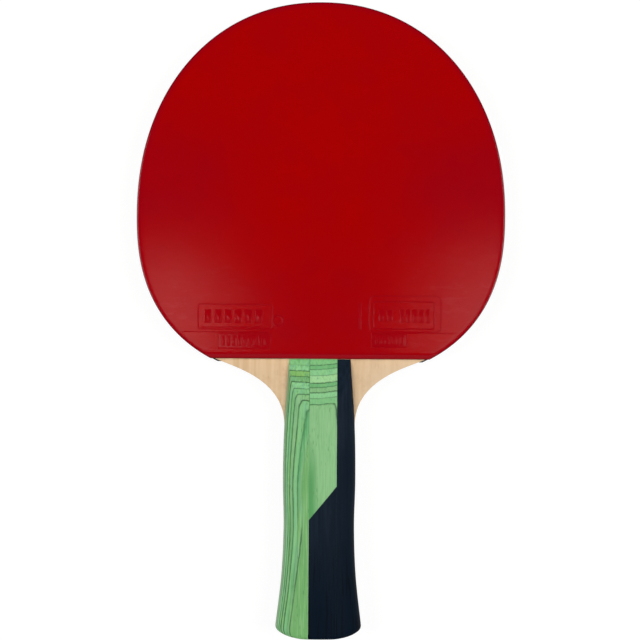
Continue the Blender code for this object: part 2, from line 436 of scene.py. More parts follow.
def connect(board, shader, colour, roughness, height):  # the height is in millimetres
    relief = board.add("ShaderNodeBump", {}, {"Strength": 1.0, "Distance": mm, "Height": height})
    for name, wire in (("Base Color", colour), ("Roughness", roughness), ("Normal", relief)):
        board.link(wire, shader.inputs[name])


# Rubber

rubber = {
    "red": shade(165, 0, 1),
    # the deeper tones serve the hem strip, a random mottle, and painted shade at the sides, the rim and
    # the raised marks; the edge tones paint a shade line on the rim's top edge; the paler ones paint
    # streaks that are partly wear and partly painted sheen
    "redWorn": shade(147, 0, 17),
    "redEdge": shade(104, 6, 18),
    "redRubbed": shade(196, 84, 88),
    "black": shade(26, 26, 29),
    "blackWorn": shade(33, 33, 36),
    "blackEdge": shade(22, 22, 24),
    "blackRubbed": shade(70, 70, 74),
    "streakWearAndSheen": 0.08,  # how much the pale streaks in the lower corners show; they are partly wear and partly painted sheen
    "roughness": 0.08,
    "gloss": 0.12,
    "film": 0.8 * mm,
    "rim": (  # millimetres in from the rim, millimetres below the face, painted shade: how far the colour deepens there, where 2 adds the painted dark line on the top edge
        (0.0, 0.28, 1.2), (0.04, 0.19, 2), (0.16, 0.12, 2), (0.5, 0.07, 1.1),
        (1.0, 0.032, 0.6), (1.8, 0.009, 0.3), (3.0, 0.0, 0),
    ),
    "pipHeight": 0.9 * mm,
    "pipTop": 0.72 * mm,  # radius at the sponge
    "pipFoot": 0.92 * mm,  # radius at the film
    "pipPitch": 2.4 * mm,
    "pipBand": 7 * mm,  # how far in from the rim the pips are made
    "pipSeat": 0.02 * mm,  # how deep their feet stand in the film
    "pipExtra": 0.015 * mm,  # added to their height for that
    "rowPitch": 0.866,  # distance of the rows, in pitches
    "pipSides": 10,
    "pipArea": (90 * mm, 105 * mm),  # half width and half height of the grid that they are picked from
    "coreOverlap": 0.6 * mm,  # the solid rubber behind the band reaches into it by this much
    "coreRise": 0.01 * mm,  # and stands this much clear of the sponge
    "wallReach": 20 * mm,  # half height of the wall that cuts the pips
    "hemLine": -13.6,  # millimetres along the bat
    "hemDepth": 0.09,  # millimetres
}

# Raised marks on the rubber, in millimetres across the bat and along the row
embossing = {
    "flank": 0.9,  # width of a mark's sloping side, in heights
    "sunk": 0.03,
    # painted shade on the raised marks: how far they take the deeper red
    "paintedShade": 0.45,
    "turns": 4,  # steps round a corner
    "blockCorner": 0.3,
    "frames": (  # centre, half size, corner radius, height, width of the ridge
        ((34.0, 2.2), (12.6, 5.8), 1.3, 0.15, 0.55),
        ((34.6, 2.7), (14.9, 7.6), 2.4, 0.06, 0.6),
        ((-34.6, 1.2), (15.4, 5.3), 1.2, 0.08, 0.6),
        ((-30.9, -8.6), (10.9, 3.3), 0.6, 0.08, 0.4),
        ((28.2, -8.0), (7.3, 2.9), 0.6, 0.1, 0.4),
        ((-17.2, -0.3), (2.5, 2.5), 2.4, 0.07, 0.9),
    ),
    "plates": (  # centre, half size, corner radius, height
        ((-36.2, -2.95), (12.2, 0.22), 0.2, 0.09),
        ((-36.2, -3.65), (12.2, 0.22), 0.2, 0.09),
        ((-39.0, -5.0), (17.5, 0.2), 0.18, 0.07),
        ((41.0, -5.0), (15.0, 0.2), 0.18, 0.07),
        ((16.2, 1.6), (0.5, 5.6), 0.45, 0.06),
        ((-30.9, -8.6), (10.2, 2.7), 0.4, 0.03),
        ((28.2, -8.0), (6.7, 2.4), 0.4, 0.03),
    ),
    "rows": (  # centre, half size, number of blocks, share of the row they fill, height
        ((38.5, 1.9), (6.6, 2.7), 5, 0.66, 0.14),
        ((26.6, 2.0), (3.4, 2.3), 2, 0.72, 0.12),
        ((-35.4, 1.4), (12.4, 2.7), 6, 0.7, 0.14),
        ((-30.9, -8.6), (9.6, 2.1), 9, 0.66, 0.12),
        ((28.2, -8.0), (6.1, 1.8), 7, 0.66, 0.1),
    ),
}


def roundedOutline(centre, half, radius, grow):
    radius = max(radius + grow, 0.02)
    turns = embossing["turns"]
    points = []
    for corner, (acrossSign, alongSign) in enumerate(((1, 1), (-1, 1), (-1, -1), (1, -1))):
        x = centre[0] + acrossSign * (half[0] + grow - radius)
        y = centre[1] + alongSign * (half[1] + grow - radius)
        for i in range(turns + 1):
            angle = math.pi / 2 * (corner + i / turns)
            points.append((x + radius * math.cos(angle), y + radius * math.sin(angle)))
    return points


def addMark(bm, turned, centre, half, radius, height, ridge=None):
    # a plate on the rubber's face, or a ridge along its outline, with sloping sides and softened tops;
    # turned is 1 on the front and -1 on the back
    slope = embossing["flank"] * height
    soft = 0.1 if ridge is None else 0.2 * ridge
    profile = [  # growth of the outline, height over the face
        (slope / 2, -embossing["sunk"]), (slope / 2, 0),
        (-slope * 0.35, height * 0.86), (-slope / 2 - soft, height),
    ]
    if ridge is not None:
        profile += [(-ridge - grow, z) for grow, z in reversed(profile)]
    rings = []
    for grow, z in profile:
        outline = [(x * turned * mm, y * mm) for x, y in roundedOutline(centre, half, radius, grow)]
        rings.append((outline, middle + turned * (faceHeight + z * mm)))
    stackRings(bm, rings, hollow=ridge is not None)


def addMarks(bm, turned):  # they read the same way on either face
    for mark in embossing["frames"] + embossing["plates"]:
        addMark(bm, turned, *mark)
    for centre, half, count, fill, height in embossing["rows"]:
        pitch = 2 * half[0] / count
        for i in range(count):
            block = (centre[0] - half[0] + pitch * (i + 0.5), centre[1])
            size = (pitch * fill / 2, half[1])
            addMark(bm, turned, block, size, embossing["blockCorner"], height)


def rubberFinish(name, tones, turned):
    colour, deepAndShaded, edge, rubbed = tones
    material, shader, board, place = startFinish(name, rubber["gloss"])
    x, y, z = board.split(place)
    top = (middle + turned * faceHeight) / mm
    depth = (top - z) * turned
    onFace = depth.fade(0.3, 0.1)
    hemLine = rubber["hemLine"]
    hem = y.fade(hemLine + 0.1, hemLine - 0.4)
    relief = (hem * 0.3 - abs(y - hemLine).fade(0.5, 0.05) * 0.8) * rubber["hemDepth"]
    swell = board.noise(place, 0.03, 1.0) * 0.04 + board.grain(place, 0.12, 0.5) * 0.004
    rough = board.noise(place, 9.0, 3.0, 0.6) * 0.004
    knife = board.noise(board.stretch(place, (1, 1, 4)), 3.5, 3.0, 0.7) * 0.12  # its marks on the rim
    height = (relief + swell) * onFace + rough + knife * (1 - onFace)

    # painted shade: the colour is a little deeper at both sides of the head, towards the right and,
    # between the sides, towards the handle; the noise adds a random mottle
    sides = abs(x).fade(12, 60)
    mottle = board.noise(place, 0.07, 3.0, 0.5).fade(0.4, 0.7) * 0.3 + x.fade(0, 75) * 0.15
    mottle = mottle + sides * y.fade(10, 50) * y.fade(95, 60) * 0.8 + (1 - sides) * y.fade(45, -5) * 0.6

    # faint pale streaks in the two lower corners, partly wear and partly a painted sheen where the
    # round lamps' reflections lie
    streaks = board.grain(place, 0.18, 0.55, 3.0, 0.6).fade(0.44, 0.72)
    streaks = streaks * board.noise(place, 0.09).fade(0.38, 0.6) * abs(x).fade(14, 44) * y.fade(44, 10)
    # how much painted shade each point carries, near the rim and on the raised marks
    rim = board.add("ShaderNodeAttribute", {"attribute_name": "rim"}, [], "Fac")
    tone = board.coat(
        colour,
        ((mottle * 0.55).atMost(0.8), deepAndShaded),
        (streaks * rubber["streakWearAndSheen"], rubbed),
        # the hem strip takes the deeper red; near the rim and on the raised marks that is painted shade
        ((hem * 0.9).atLeast(rim * 0.9).atMost(0.9), deepAndShaded),
        # painted shade: a dark line along the rim's top edge
        ((rim - 1).atLeast(0), edge),
    )
    roughness = rubber["roughness"] + mottle * 0.02 + (1 - onFace) * 0.35 + hem * 0.2
    connect(board, shader, tone, roughness, height)
    return material


def pipTree():
    board, given = startTree("pipsAlongRim", {
        "Rim": "Object", "Pitch": "Float", "Top radius": "Float", "Foot radius": "Float",
        "Pip height": "Float", "Band": "Float", "Sides": "Int", "Level": "Float", "Turned": "Float",
        "Half width": "Float", "Half height": "Float", "Row pitch": "Float", "Centre": "Float",
    })
    pitch, rowPitch = given["Pitch"], given["Row pitch"]

    # a grid of points, every other row moved half a pitch across
    columns = 2 * (given["Half width"] / pitch).whole()
    rows = 2 * (given["Half height"] / pitch).whole()
    grid = board.add("GeometryNodeMeshGrid", {}, {
        "Size X": pitch * (columns - 1), "Size Y": pitch * (rows - 1) * rowPitch,
        "Vertices X": columns, "Vertices Y": rows,
    })
    x, y = board.split(board.add("GeometryNodeInputPosition"))[:2]
    odd = (y / (pitch * rowPitch) / 2 + 0.25).part() > 0.5
    spot = board.point(x + odd * pitch / 2, y + given["Centre"], given["Level"])
    grid = board.add("GeometryNodeSetPosition", {}, {"Geometry": grid, "Position": spot})

    # only those that stand within the band inside the rim, or are cut by it
    wall = board.add("GeometryNodeObjectInfo", {}, {"Object": given["Rim"]}, "Geometry")
    position = board.add("GeometryNodeInputPosition")

    def fromRim():
        distance = board.add("GeometryNodeProximity", {"target_element": "FACES"}, [wall], "Distance")
        nearest = distance.sibling("Position")
        away = board.vectors("SUBTRACT", position, nearest)
        normal = board.add("GeometryNodeSampleNearestSurface", {"data_type": "FLOAT_VECTOR"}, {
            "Mesh": wall, "Value": board.add("GeometryNodeInputNormal"),
        })
        return nearest, distance, board.vectors("DOT_PRODUCT", away, normal, "Value")

    nearest, distance, side = fromRim()
    drop = (distance > given["Band"]) + (side > 0) * (distance > given["Top radius"])
    grid = board.add("GeometryNodeDeleteGeometry", {}, {"Geometry": grid, "Selection": drop > 0.5})

    pip = board.add("GeometryNodeMeshCone", {}, {
        "Vertices": given["Sides"], "Radius Top": given["Top radius"],
        "Radius Bottom": given["Foot radius"], "Depth": given["Pip height"],
    })
    turn = board.point((given["Turned"] > 0) * math.pi, 0.0, 0.0)
    placed = {"Points": grid, "Instance": pip, "Rotation": turn}
    pips = board.add("GeometryNodeInstanceOnPoints", {}, placed)
    pips = board.add("GeometryNodeRealizeInstances", {}, {"Geometry": pips})

    # the knife's cut: whatever stands out past the rim is pressed flat against it
    nearest, distance, side = fromRim()
    wallX, wallY = board.split(nearest)[:2]
    flush = board.point(wallX, wallY, board.split(position)[2])
    cut = {"Geometry": pips, "Selection": side > 0, "Position": flush}
    pips = board.add("GeometryNodeSetPosition", {}, cut)
    whole = board.add("GeometryNodeJoinGeometry", {}, [given["Geometry"]])
    board.link(pips, whole.socket.node.inputs[0])
    return endTree(board, whole, given["Finish"])


def withTree(mesh, tree, **given):
    # runs a Geometry Nodes tree on a mesh and gives back the plain result
    carrier = newObject("carrier", mesh)
    modifier = carrier.modifiers.new("tree", "NODES")
    modifier.node_group = tree
    for item in tree.interface.items_tree:
        if item.in_out == "INPUT" and item.name in given:
            modifier[item.identifier] = given[item.name]
    carrier.update_tag()
    graph = bpy.context.evaluated_depsgraph_get()
    result = bpy.data.meshes.new_from_object(carrier.evaluated_get(graph))
    bpy.data.objects.remove(carrier)
    return result


def rimWall(outline):
    # an upright wall round the sheet, facing outwards, for the pips to be measured against
    count, reach = len(outline), rubber["wallReach"]
    quads = [(i, count + i, count + (i + 1) % count, (i + 1) % count) for i in range(count)]
    mesh = bpy.data.meshes.new("rimWall")
    corners = [(x, y, middle + z) for z in (-reach, reach) for x, y in outline]
    mesh.from_pydata(corners, [], quads)
    return newObject("rimWall", mesh)


def topsheetMesh(turned, drop, finish, tree):
    level = faceHeight - rubber["film"]
    foot = level - rubber["pipHeight"] + rubber["coreRise"]
    core = rubber["pipBand"] - rubber["coreOverlap"]
    profile = [(core, foot, 1), (core, level, 1), (0.0, level, 1)]  # distance in, height, painted shade
    profile += [(inset * mm, faceHeight - below * mm, paintedShade) for inset, below, paintedShade in rubber["rim"]]
    rings = []
    for inset, height, paintedShade in profile:
        rings.append((wholeOutline(headSide(inset, drop - inset)), middle + turned * height))
    bm = layered(rings)
    addMarks(bm, turned)
    bmesh.ops.recalc_face_normals(bm, faces=bm.faces)
    film = meshOf(bm, "film")
    # painted shade for every point: the rim profile's share, then the raised marks' share
    deepAndShaded = [paintedShade for inset, height, paintedShade in profile for point in rings[0][0]]
    deepAndShaded += [embossing["paintedShade"]] * (len(film.vertices) - len(deepAndShaded))
    film.attributes.new("rim", "FLOAT", "POINT").data.foreach_set("value", deepAndShaded)
    rim = rimWall(wholeOutline(headSide(0, drop)))
    result = withTree(film, tree, **{
        "Rim": rim, "Pitch": rubber["pipPitch"], "Top radius": rubber["pipTop"],
        "Foot radius": rubber["pipFoot"], "Pip height": rubber["pipHeight"] + rubber["pipExtra"],
        "Band": rubber["pipBand"], "Sides": rubber["pipSides"],
        "Level": middle + turned * (level + rubber["pipSeat"]), "Turned": float(turned),
        "Half width": rubber["pipArea"][0], "Half height": rubber["pipArea"][1],
        "Row pitch": rubber["rowPitch"], "Centre": widest, "Finish": finish,
    })
    bpy.data.objects.remove(rim)
    return result


# Sponge

sponge = {
    # skin, pores, pale patches
    "front": (shade(231, 205, 140), shade(196, 164, 98), shade(244, 226, 176)),
    "back": (shade(38, 38, 41), shade(20, 20, 22), shade(48, 48, 51)),
    "gloss": 0.2,
    "gap": 0.015 * mm,
    "edgeRound": 0.05 * mm,
    "edgeInset": 0.03 * mm,
    "pore": 0.32,  # millimetres across
    "finePore": 2.4,  # how many times smaller the small ones are
}


def spongeFinish(name, colours):
    skin, deep, patch = colours
    material, shader, board, place = startFinish(name, sponge["gloss"])
    coarse = board.cells(place, 1 / sponge["pore"])
    fine = board.cells(place, sponge["finePore"] / sponge["pore"])
    pores = coarse.fade(0.42, 0.16) * 0.8 + fine.fade(0.4, 0.2) * 0.3
    tint = board.noise(place, 0.12, 3.0).fade(0.35, 0.7)
    tone = board.coat(skin, (pores.atMost(1), deep), (tint * 0.25, patch))
    connect(board, shader, tone, 0.85 + pores * 0.1, pores * -0.06)
    return material


def makeRubbers():
    tree = pipTree()
    soft, inset = sponge["edgeRound"], sponge["edgeInset"]
    low = bladeHalf + sponge["gap"]
    high = faceHeight - rubber["film"] - rubber["pipHeight"]
    sections = ((inset, low), (0.0, low + soft), (0.0, high - soft), (inset, high))
    for face, turned, extra, tone, slot, foamSlot in (
        ("front", 1, 0.0, "red", "red_rubber", "sponge_foam"),
        ("back", -1, head["backExtra"], "black", "black_rubber", "dark_foam"),
    ):
        drop = head["edgeDrop"] + extra
        tones = [rubber[tone + part] for part in ("", "Worn", "Edge", "Rubbed")]
        finish = rubberFinish(face + "RubberFinish", tones, turned)
        mesh = topsheetMesh(turned, drop, finish, tree)
        makePiece(face + "Topsheet", mesh, finish, slot, face + "_topsheet")
        rings = []
        for within, height in sections:
            rings.append((wholeOutline(headSide(within, drop - within)), middle + turned * height))
        mesh = meshOf(layered(rings), "foam")
        foam = spongeFinish(face + "Foam", sponge[face])
        makePiece(face + "Sponge", mesh, foam, foamSlot, face + "_sponge")
        print(face, "rubber made")


makeRubbers()


# Blade

blade = {
    "edgeRound": 0.06 * mm,
    "glue": 0.012 * mm,  # half a glue line
    "innerFrom": 1.35 * mm,  # heights over the blade's middle
    "faceFrom": 2.25 * mm,
    "gloss": 0.3,
    "fibres": (7.0, 0.28),  # per millimetre across and along them
    # each wood's pale and dark tone, and the face's own flames and lighter right side
    "paleFaceVeneer": (
        shade(221, 192, 155), shade(209, 175, 134), shade(196, 158, 118), shade(226, 199, 166),
    ),
    "crossVeneer": (shade(205, 166, 118), shade(158, 112, 70)),
    "coreWood": (shade(222, 192, 146), shade(186, 146, 98)),
}


def plyFinish(name, crossPly=False):
    pale, dark, *own = blade[name]
    flame, light = own or (dark, pale)

    # fibres run along the bat, or across it in the cross plies
    def fibres(wide, long):
        return (long, wide, wide) if crossPly else (wide, long, wide)

    material, shader, board, place = startFinish(name, blade["gloss"])
    wide, long = blade["fibres"]
    fibre = board.noise(board.stretch(place, fibres(wide, long)), 1.0, 4.0, 0.65)
    band = board.noise(board.stretch(place, fibres(0.5, 0.022)), 1.0, 3.0, 0.55)
    blotch = board.noise(place, 0.16, 3.0, 0.6)
    dash = board.cells(board.stretch(place, fibres(wide * 0.42, long * 0.42)))
    pore = dash.fade(0.2, 0.06) * blotch.fade(0.42, 0.6)
    tone = board.coat(
        pale,
        (band.fade(0.3, 0.72), dark),
        (blotch.fade(0.48, 0.74) * 0.55, flame),
        (board.split(place)[0].fade(8, 26) * 0.5, light),
        (fibre.fade(0.5, 0.75) * 0.3, dark),
        (pore * 0.45, tuple(v * 0.55 for v in flame)),
    )
    connect(board, shader, tone, 0.58 + fibre * 0.14, fibre * 0.02 - pore * 0.03)
    return material


def bladeOutline(side, inset):
    # the rim is drawn in square to itself
    points = [Vector(point) for point in side]
    drawn = []
    for i, point in enumerate(points):
        before, after = points[max(i - 1, 0)], points[min(i + 1, len(points) - 1)]
        along = (after - before).normalized()
        drawn.append((point.x + along.y * inset, point.y - along.x * inset))
    drawn[0] = (0.0, side[0][1] - inset)
    drawn[-1] = (drawn[-1][0], max(drawn[-1][1], side[-1][1] + inset))
    return wholeOutline(drawn)


def makeBlade():
    faceWood = plyFinish("paleFaceVeneer")
    innerWood = plyFinish("crossVeneer", crossPly=True)
    coreWood = plyFinish("coreWood")
    glue, soft = blade["glue"], blade["edgeRound"]
    side = bladeSide()
    full, drawn = bladeOutline(side, 0.0), bladeOutline(side, soft)
    inner, face = blade["innerFrom"], blade["faceFrom"]
    for name, low, high, finish, slot, node in (
        ("corePly", -inner + glue, inner - glue, coreWood, "core_wood", "core_ply"),
        ("frontInnerPly", inner + glue, face - glue, innerWood, "inner_wood", "front_inner_ply"),
        ("backInnerPly", -face + glue, -inner - glue, innerWood, "inner_wood", "back_inner_ply"),
        ("frontFacePly", face + glue, bladeHalf, faceWood, "face_wood", "front_face_ply"),
        ("backFacePly", -bladeHalf, -face - glue, faceWood, "face_wood", "back_face_ply"),
    ):
        rings = ((drawn, low), (full, low + soft), (full, high - soft), (drawn, high))
        bm = layered([(points, middle + z) for points, z in rings])
        makePiece(name, meshOf(bm, name), finish, slot, node)
    print("blade made")


makeBlade()


# Handle scales

scale = {
    "rings": 150,
    "around": 128,
    "crownPoints": 40,  # points of the curves that the loft reads its half width and crown from
    "buttSquare": 8,  # how square the butt's corners are
    "weld": 0.002 * mm,
    "glue": 0.012 * mm,
    "smoothAngle": 28,
    "tones": {
        "mint": shade(143, 206, 145), "leaf": shade(131, 194, 131), "moss": shade(116, 183, 120),
        "pale": shade(165, 216, 154), "lime": shade(134, 188, 104), "sage": shade(122, 176, 120),
        "meadow": shade(113, 171, 102), "straw": shade(137, 189, 131), "fern": shade(119, 176, 112),
    },
    # glue lines: height over the blade in veneers, strength near the head and near the butt, half width
    "greenLane": {
        "veneers": ("leaf", "mint", "lime", "fern", "mint", "leaf", "straw", "leaf", "sage", "meadow"),
        "lines": (
            (1.03, 0.35, 0.35, 0.12), (2.0, 1.0, 1.0, 0.15), (3.0, 0.8, 0.8, 0.14),
            (3.97, 1.0, 0.9, 0.16), (5.1, 0.75, 0.9, 0.15), (6.12, 0.9, 1.0, 0.17),
            (7.18, 1.0, 0.9, 0.18), (8.24, 0.6, 0.15, 0.22), (8.92, 0.1, 1.0, 0.17),
        ),
        "lean": (-0.02, 0),  # veneers per millimetre to the right, everywhere and right of the middle
        "sag": 0.27,  # this lane was sanded a little deeper than the middle one
        "stained": 0.75,
        "heart": None,
        "figure": 1.0,
        "seed": 3.0,
    },
    "greenBlock": {
        "veneers": ("leaf", "moss", "mint", "pale", "moss", "straw", "mint", "leaf", "straw"),
        "lines": (
            (1.12, 0.9, 0.9, 0.14), (1.88, 0.65, 0.65, 0.13), (2.98, 0.55, 0.55, 0.12),
            (4.28, 1.0, 1.0, 0.16), (5.03, 0.7, 0.7, 0.15), (5.95, 1.0, 1.0, 0.17),
            (6.97, 0.65, 0.65, 0.14), (8.04, 1.0, 1.0, 0.15),
        ),
        "lean": (0, 0.05),
        "sag": 0,
        "stained": 0,
        "heart": (4.4, -42, -68),  # millimetres: reach from the left seam, and where it comes in
        "figure": 0.5,
        "seed": 11.0,
    },
    "stain": shade(88, 172, 104),
    "stainBand": (8.35, 0.55),  # veneers, a deeper green that runs beside a glue line near the head
    "buttFrom": (-79, -90),  # millimetres along the bat, where the lines take their butt strength
    "glueLine": shade(24, 66, 36),
    "heart": shade(74, 147, 80),
    "tealPatch": shade(120, 184, 152),
    "limePatch": shade(148, 204, 112),
    "greenPore": shade(62, 112, 64),
    "paleFibre": shade(170, 216, 160),
    # a paler, greyer green where the sides turn steep
    "rubbed": shade(166, 186, 164),
    "gloss": 0.2,
    "darkGloss": 0.03,
    "roughness": 0.46,
    "dark": shade(17, 28, 39),
    "darkSoft": shade(26, 37, 50),
    "darkSide": shade(11, 23, 35),
    "darkButt": shade(3, 17, 31),
    "darkGrain": shade(5, 9, 14),
}


def loftTree():
    # an oval loft with a flat underside, its half width and crown read from curves along the handle
    sockets = dict.fromkeys((
        "Start", "Length", "Lip", "Slope", "Crease", "Butt depth", "Butt flat start", "Butt power",
        "Butt edge", "Butt square",
    ), "Float")
    board, given = startTree("handleLoft", {**sockets, "Rings": "Int", "Around": "Int"})
    start, length, edge = given["Start"], given["Length"], given["Butt edge"]
    tube = board.add("GeometryNodeMeshCylinder", {"fill_type": "NGON"}, {
        "Vertices": given["Around"], "Side Segments": given["Rings"], "Radius": 1.0, "Depth": 1.0,
    })
    x, y, z = board.split(board.add("GeometryNodeInputPosition"))
    run = 0.5 - ((z + 0.5) * math.pi).cosine() / 2  # rings lie closer together at both ends
    down = start + (length - start) * run
    lastDown = handle["stations"][-1][0]
    spread = scale["crownPoints"]
    curves = []
    for column, most in ((1, 0.02), (2, 0.01)):  # a curve node's values end at 1
        points = []
        for i in range(spread + 1):
            points.append((i / spread, throughStations(lastDown * i / spread, column) / most))
        share = {"Value": (down / lastDown).atMost(1)}
        curves.append(board.add("ShaderNodeFloatCurve", {"points": points}, share) * most)
    rise = (length - down) / given["Butt depth"]
    up = (given["Butt flat start"] + (1 - given["Butt flat start"]) * rise).atMost(1)
    share = (1 - (1 - up) * (1 - up)) ** given["Butt power"]
    beyond = (1 - (length - down) / edge).atLeast(0)
    half, crown = curves[0] * share, curves[1] - edge * (1 - (1 - beyond * beyond).root())
    sanded = given["Lip"] + (down - start) * given["Slope"]
    onTop = y > 0.0001
    across = share * x  # the butt's rounded corners cut through the full oval, with a soft edge
    square = given["Butt square"]
    softened = (1 - abs(x) ** square).atLeast(0) ** ((1 - share).fade(0, 0.12) / square)
    oval = crown * onTop * (1 - across * across).atLeast(0).root() * softened
    upper = board.add("ShaderNodeMath", {"operation": "SMOOTH_MIN"}, [oval, sanded, given["Crease"]])
    upper = upper.atMost(oval).atLeast(0) * onTop
    spot = board.point(half * x, -down, upper)
    loft = board.add("GeometryNodeSetPosition", {}, {"Geometry": tube, "Position": spot})
    return endTree(board, loft, given["Finish"])


def saw(bm, point, away):
    everything = bm.verts[:] + bm.edges[:] + bm.faces[:]
    cut = bmesh.ops.bisect_plane(
        bm, geom=everything, dist=scale["weld"], plane_co=point, plane_no=away, clear_outer=True
    )
    rim = [item for item in cut["geom_cut"] if isinstance(item, bmesh.types.BMEdge)]
    bmesh.ops.edgeloop_fill(bm, edges=rim)


def sawn(body, *cuts):
    piece = body.copy()
    for point, away in cuts:
        saw(piece, point, away)
    bmesh.ops.dissolve_degenerate(piece, dist=scale["weld"], edges=piece.edges)
    bmesh.ops.recalc_face_normals(piece, faces=piece.faces)
    return piece


def scaleAxes(board, place):
    # across, along, and height over the blade's middle; the back scale is the front one turned over
    x, y, z = board.split(place)
    side = z - middle / mm
    return x * side.sign(), y, side


def veneerFinish(name, veneers, lines, lean, sag, stained, heart, figure, seed):
    # the veneers lie flat on the blade, so the height over it tells which one the surface has cut into
    material, shader, board, place = startFinish(name, scale["gloss"])
    x, y, side = scaleAxes(board, place)
    wander = board.noise(board.stretch(place, (0.32, 0.05, 0.3), (seed, 0, 0)), 1.0, 3.0) - 0.5
    jag = board.grain(place, 1.4, 0.35, 3.0, 0.6, (seed, 9, 0)) - 0.5
    last = 12  # veneers, more than the crown is high
    veneer = handle["veneer"] / mm
    depth = (abs(side) - bladeHalf / mm) / veneer
    sanded = (edgeLine / mm - y) * (handle["slope"] / veneer)
    onSlope = (sanded - depth).fade(1.4, 0.3)
    depth = depth + x * lean[0] + x.atLeast(0) * lean[1] - onSlope * sag
    depth = (depth + wander * 0.24 + jag * 0.26) / last
    edges = [0] + [line[0] for line in lines]
    steps = [(edge / last, scale["tones"][tone]) for edge, tone in zip(edges, veneers)]
    tone = board.add("ShaderNodeValToRGB", {"steps": steps}, [depth])
    steps = [(edge / last, (i / last,) * 3) for i, edge in enumerate(edges)]
    layer = board.add("ShaderNodeValToRGB", {"steps": steps}, [depth]) * last
    shift = board.point(layer * 17.3 + seed, layer * 5.1, layer * 9.7)
    own = board.vectors("ADD", place, shift)

    # figure of the wood, different in each veneer
    fibre = board.grain(own, 4.2, 0.1, 4.0, 0.6)
    streak = board.grain(own, 1.7, 0.04, 3.0, 0.55)
    mottle = board.grain(own, 0.4, 0.09)
    teal = board.grain(own, 0.8, 0.05, shift=(40, 0, 0))
    lime = board.grain(own, 0.8, 0.045, shift=(80, 0, 0))
    dash = board.cells(board.stretch(own, (1.9, 0.2, 1.9)))
    pore = dash.fade(0.27, 0.1) * mottle.fade(0.47, 0.58)
    inner = layer < len(lines) - 0.5
    coats = [
        (teal.fade(0.52, 0.68) * inner * (0.4 * figure), "tealPatch"),
        (lime.fade(0.54, 0.7) * inner * (0.5 * figure), "limePatch"),
    ]
    if stained:
        band, half = scale["stainBand"]
        stain = abs(depth * last - band - wander * 0.5).fade(half, 0.1)
        coats.append((stain * y.fade(-82, -60) * (depth * last > band - 0.2) * stained, "stain"))
    coats += [
        (streak.fade(0.48, 0.7) * (0.5 * figure), "heart"),
        (streak.fade(0.46, 0.3) * (0.35 * figure), "paleFibre"),
        (fibre.fade(0.5, 0.75) * 0.28, "greenPore"),
    ]
    fromSeam = x + handle["leftSeam"] / mm
    if heart:
        reach, first, full = heart
        inHeart = (fromSeam + wander * 1.6).fade(reach, reach * 0.15)
        coats.append((inHeart * y.fade(first, full) * 0.9, "heart"))
    coats.append((pore * 0.75, "greenPore"))

    # glue lines, drawn wider where the surface is steep and shows them foreshortened
    normal = board.add("ShaderNodeNewGeometry", {}, [], "Normal")
    steep = abs(board.split(normal)[0])
    shown = []
    for widen in (1.0, 2.1):
        spikes = [(0, (0, 0, 0))]
        for at, upper, lower, wide in lines:
            before, after = (at - wide * widen) / last, (at + wide * widen) / last
            spikes += [(before, (0, 0, 0)), (at / last, (upper, lower, 0)), (after, (0, 0, 0))]
        shown.append(board.add("ShaderNodeValToRGB", {"stops": spikes}, [depth]))
    near, far = board.split(board.blend(steep.fade(0.35, 0.8), shown[0], shown[1]))[:2]
    line = near + (far - near) * y.fade(*scale["buttFrom"])
    firm = board.grain(place, 0.45, 0.05, 3.0, 0.65, (seed + 40, 0, 0))
    glue = line * firm.fade(0.1, 0.55)
    seam = abs(fromSeam).fade(0.22, 0.05)
    coats += [
        (board.split(shown[1])[0] * (1 - onSlope) * figure * 0.4, "heart"),
        (glue * 0.95, "glueLine"),
        # paler and greyer where the sides turn steep
        (steep.fade(0.78, 0.96) * 0.55, "rubbed"),
        (seam * onSlope * 0.6, "glueLine"),
        (seam * y.fade(-79, -83) * 0.4, "paleFibre"),
    ]
    tone = board.coat(tone, *[(amount, scale[colour]) for amount, colour in coats])
    height = fibre * 0.012 - pore * 0.02 - glue * 0.012
    connect(board, shader, tone, scale["roughness"] + fibre * 0.12, height)
    return material


def darkFinish(name, seed):
    material, shader, board, place = startFinish(name, scale["darkGloss"])
    x, y = scaleAxes(board, place)[:2]
    own = board.stretch(place, (1, 1, 1), (seed, seed / 3, 0))
    fibre = board.grain(own, 4.5, 0.1, 4.0, 0.6)
    streak = board.grain(own, 0.9, 0.03, 3.0, 0.55)
    pore = board.cells(board.stretch(own, (2.6, 0.25, 2.6))).fade(0.18, 0.05)
    tone = board.coat(
        scale["dark"],
        (streak.fade(0.3, 0.7), scale["darkSoft"]),
        (x.fade(2, 9) * y.fade(-42, -58) * 0.7, scale["darkSide"]),
        (y.fade(-70, -124) * 0.9, scale["darkButt"]),
        (fibre.fade(0.5, 0.8) * 0.6, scale["darkGrain"]),
        (streak.fade(0.52, 0.6) * y.fade(-85, -105) * 0.65, scale["darkGrain"]),
        (pore * 0.5, scale["darkGrain"]),
    )
    connect(board, shader, tone, scale["roughness"] + fibre * 0.14, fibre * 0.012 - pore * 0.02)
    return material


